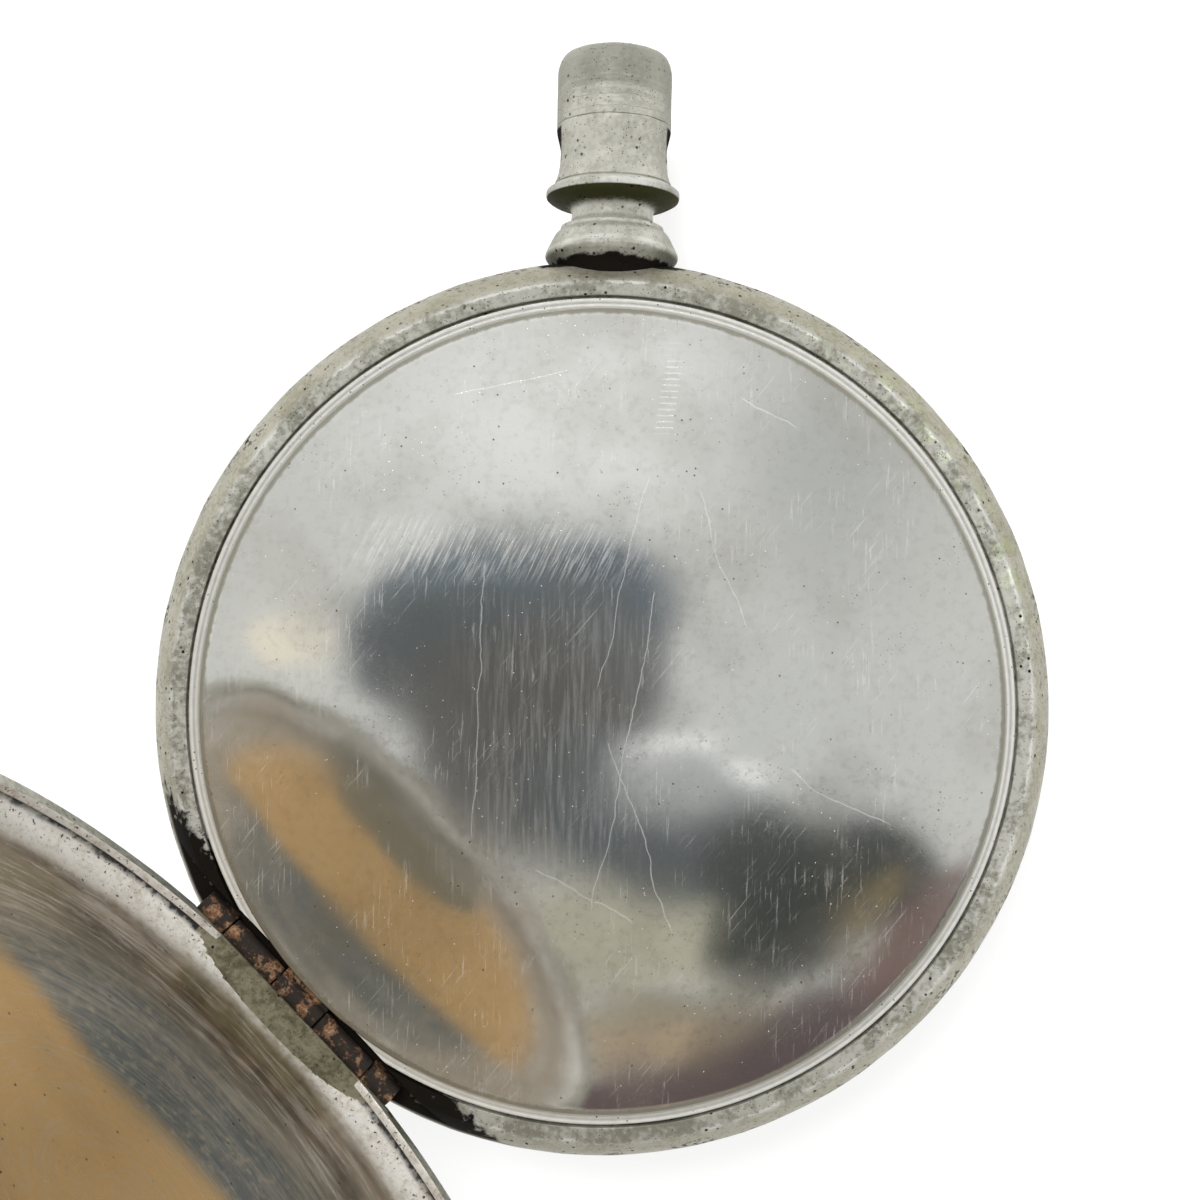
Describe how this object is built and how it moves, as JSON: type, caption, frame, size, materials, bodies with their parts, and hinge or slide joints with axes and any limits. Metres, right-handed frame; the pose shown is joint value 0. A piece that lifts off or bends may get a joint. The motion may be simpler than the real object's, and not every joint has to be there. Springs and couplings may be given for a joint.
{
  "type": "hunter pocket watch",
  "caption": "Key-wound hunter pocket watch with two sprung or hinged lids, a cuvette, a pendant with bow holes and a full train.",
  "frame": {"origin": "on the case axis, in the flat outer face of the front lid", "axes": "+Z through the watch to its back, +Y to the pendant at 3 o'clock, +X to 12 o'clock"},
  "size_m": [0.0654, 0.0783, 0.0633],
  "materials": {
    "nickel_band": "worn, pitted nickel alloy",
    "polished_nickel": "polished, finely scratched",
    "joint_metal": "tarnished joint tube",
    "spring_steel": "blued",
    "steel": "polished",
    "gilt_brass": "gilt",
    "crystal_glass": "clear",
    "enamel": "white enamel",
    "ruby": "polished ruby"
  },
  "bodies": {
    "case": {"case_centre": "nickel_band", "pendant": "nickel_band", "lift_spring": "spring_steel", "spring_screws": "spring_steel", "back_case_knuckles": "joint_metal", "back_joint_pin": "joint_metal", "front_case_knuckles": "joint_metal", "front_joint_pin": "joint_metal", "bezel": "nickel_band", "crystal": "crystal_glass", "dial": "enamel", "mainplate": "gilt_brass", "top_plate": "gilt_brass", "pillars": "gilt_brass", "plate_screws": "spring_steel", "case_screws": "spring_steel", "click_spring": "spring_steel", "winding_screws": "spring_steel", "pallet_bridge": "gilt_brass", "balance_cock": "gilt_brass", "cock_screw": "spring_steel", "jewels": "ruby"},
    "back_lid": {"back_lid": "polished_nickel", "back_lid_knuckles": "joint_metal"},
    "cuvette": {"cuvette": "polished_nickel", "cuvette_knuckle": "joint_metal"},
    "front_lid": {"front_lid": "polished_nickel", "front_lid_knuckles": "joint_metal"},
    "push": {"push_piece": "nickel_band"},
    "lock": {"lock_spring": "spring_steel"},
    "fourth": {"fourth_wheel": "gilt_brass", "fourth_pinion": "steel", "seconds_hand": "spring_steel"},
    "centre": {"centre_wheel": "gilt_brass", "centre_pinion": "steel", "setting_arbor": "steel", "cannon_pinion": "steel", "minute_hand": "spring_steel"},
    "third": {"third_wheel": "gilt_brass", "third_pinion": "steel"},
    "escape": {"escape_wheel": "gilt_brass", "escape_pinion": "steel"},
    "barrel": {"barrel": "gilt_brass", "barrel_cover": "gilt_brass", "mainspring": "spring_steel"},
    "minute": {"minute_wheel": "gilt_brass"},
    "hour": {"hour_wheel": "gilt_brass", "hour_hand": "spring_steel"},
    "winding": {"barrel_arbor": "steel", "ratchet_wheel": "steel"},
    "click": {"click": "spring_steel"},
    "balance": {"balance_wheel": "gilt_brass", "balance_screws": "gilt_brass", "balance_staff": "steel", "roller": "ruby", "hairspring": "spring_steel"},
    "pallet": {"pallet_fork": "steel", "pallet_stones": "ruby"},
    "regulator": {"regulator": "steel"}
  },
  "joints": [
    {"name": "back_lid_hinge", "type": "hinge", "parent": "case", "child": "back_lid", "pos_m": [-0.01812, -0.01787, 0.01175], "axis": [0.7022, -0.712, 0], "range_deg": [-90, 14]},
    {"name": "cuvette_hinge", "type": "hinge", "parent": "case", "child": "cuvette", "pos_m": [-0.01812, -0.01787, 0.01175], "axis": [0.7022, -0.712, 0], "range_deg": [0, 88]},
    {"name": "front_lid_hinge", "type": "hinge", "parent": "case", "child": "front_lid", "pos_m": [-0.01812, -0.01787, 0.00395], "axis": [-0.7022, 0.712, 0], "range_deg": [0, 90]},
    {"name": "push_slide", "type": "slide", "parent": "case", "child": "push", "axis": [0, -1, 0], "range_m": [-0.0006, 0], "stiffness_N_per_m": 2500, "springref_m": -0.0006},
    {"name": "lock_spring_flex", "type": "hinge", "parent": "case", "child": "lock", "pos_m": [-0.02411, 0.00513, 0.00785], "axis": [0, 0, 1], "range_deg": [0, 1.6]},
    {"name": "fourth_spin", "type": "hinge", "parent": "case", "child": "fourth", "pos_m": [-0.01, 0, 0.009], "axis": [0, 0, 1], "continuous": true},
    {"name": "centre_spin", "type": "hinge", "parent": "case", "child": "centre", "pos_m": [0, 0, 0.009], "axis": [0, 0, 1], "continuous": true},
    {"name": "third_spin", "type": "hinge", "parent": "case", "child": "third", "pos_m": [-0.00597, 0.00548, 0.009], "axis": [0, 0, 1], "continuous": true},
    {"name": "escape_spin", "type": "hinge", "parent": "case", "child": "escape", "pos_m": [-0.00772, -0.00488, 0.009], "axis": [0, 0, 1], "continuous": true},
    {"name": "barrel_spin", "type": "hinge", "parent": "case", "child": "barrel", "pos_m": [0.00978, 0.00244, 0.009], "axis": [0, 0, 1], "continuous": true},
    {"name": "minute_wheel_spin", "type": "hinge", "parent": "case", "child": "minute", "pos_m": [0.0024, -0.00416, 0.0056], "axis": [0, 0, 1], "continuous": true},
    {"name": "hour_wheel_spin", "type": "hinge", "parent": "case", "child": "hour", "pos_m": [0, 0, 0.0052], "axis": [0, 0, 1], "continuous": true},
    {"name": "winding_spin", "type": "hinge", "parent": "case", "child": "winding", "pos_m": [0.00978, 0.00244, 0.009], "axis": [0, 0, 1], "continuous": true},
    {"name": "click_turn", "type": "hinge", "parent": "case", "child": "click", "pos_m": [0.00893, 0.00726, 0.0115], "axis": [0, 0, 1], "range_deg": [0, 10], "stiffness_Nm_per_rad": 0.002},
    {"name": "balance_swing", "type": "hinge", "parent": "case", "child": "balance", "pos_m": [-0.00195, -0.01201, 0.01], "axis": [0, 0, 1], "range_deg": [-135, 135], "stiffness_Nm_per_rad": 0.000002},
    {"name": "pallet_rock", "type": "hinge", "parent": "case", "child": "pallet", "pos_m": [-0.00502, -0.00822, 0.0083], "axis": [0, 0, 1], "range_deg": [-6, 6]},
    {"name": "regulator_turn", "type": "hinge", "parent": "case", "child": "regulator", "pos_m": [-0.00195, -0.01201, 0.0124], "axis": [0, 0, 1], "range_deg": [-20, 20]}
  ],
  "couplings": [
    {"joint": "lock_spring_flex", "follows": "push_slide", "rad_per_m": -42.857},
    {"joint": "centre_spin", "follows": "fourth_spin", "ratio": 0.016667},
    {"joint": "third_spin", "follows": "fourth_spin", "ratio": -0.13333},
    {"joint": "escape_spin", "follows": "fourth_spin", "ratio": -10},
    {"joint": "barrel_spin", "follows": "fourth_spin", "ratio": -0.0027778},
    {"joint": "minute_wheel_spin", "follows": "fourth_spin", "ratio": -0.0055556},
    {"joint": "hour_wheel_spin", "follows": "fourth_spin", "ratio": 0.0013889},
    {"joint": "pallet_rock", "follows": "balance_swing", "ratio": 0.04}
  ]
}
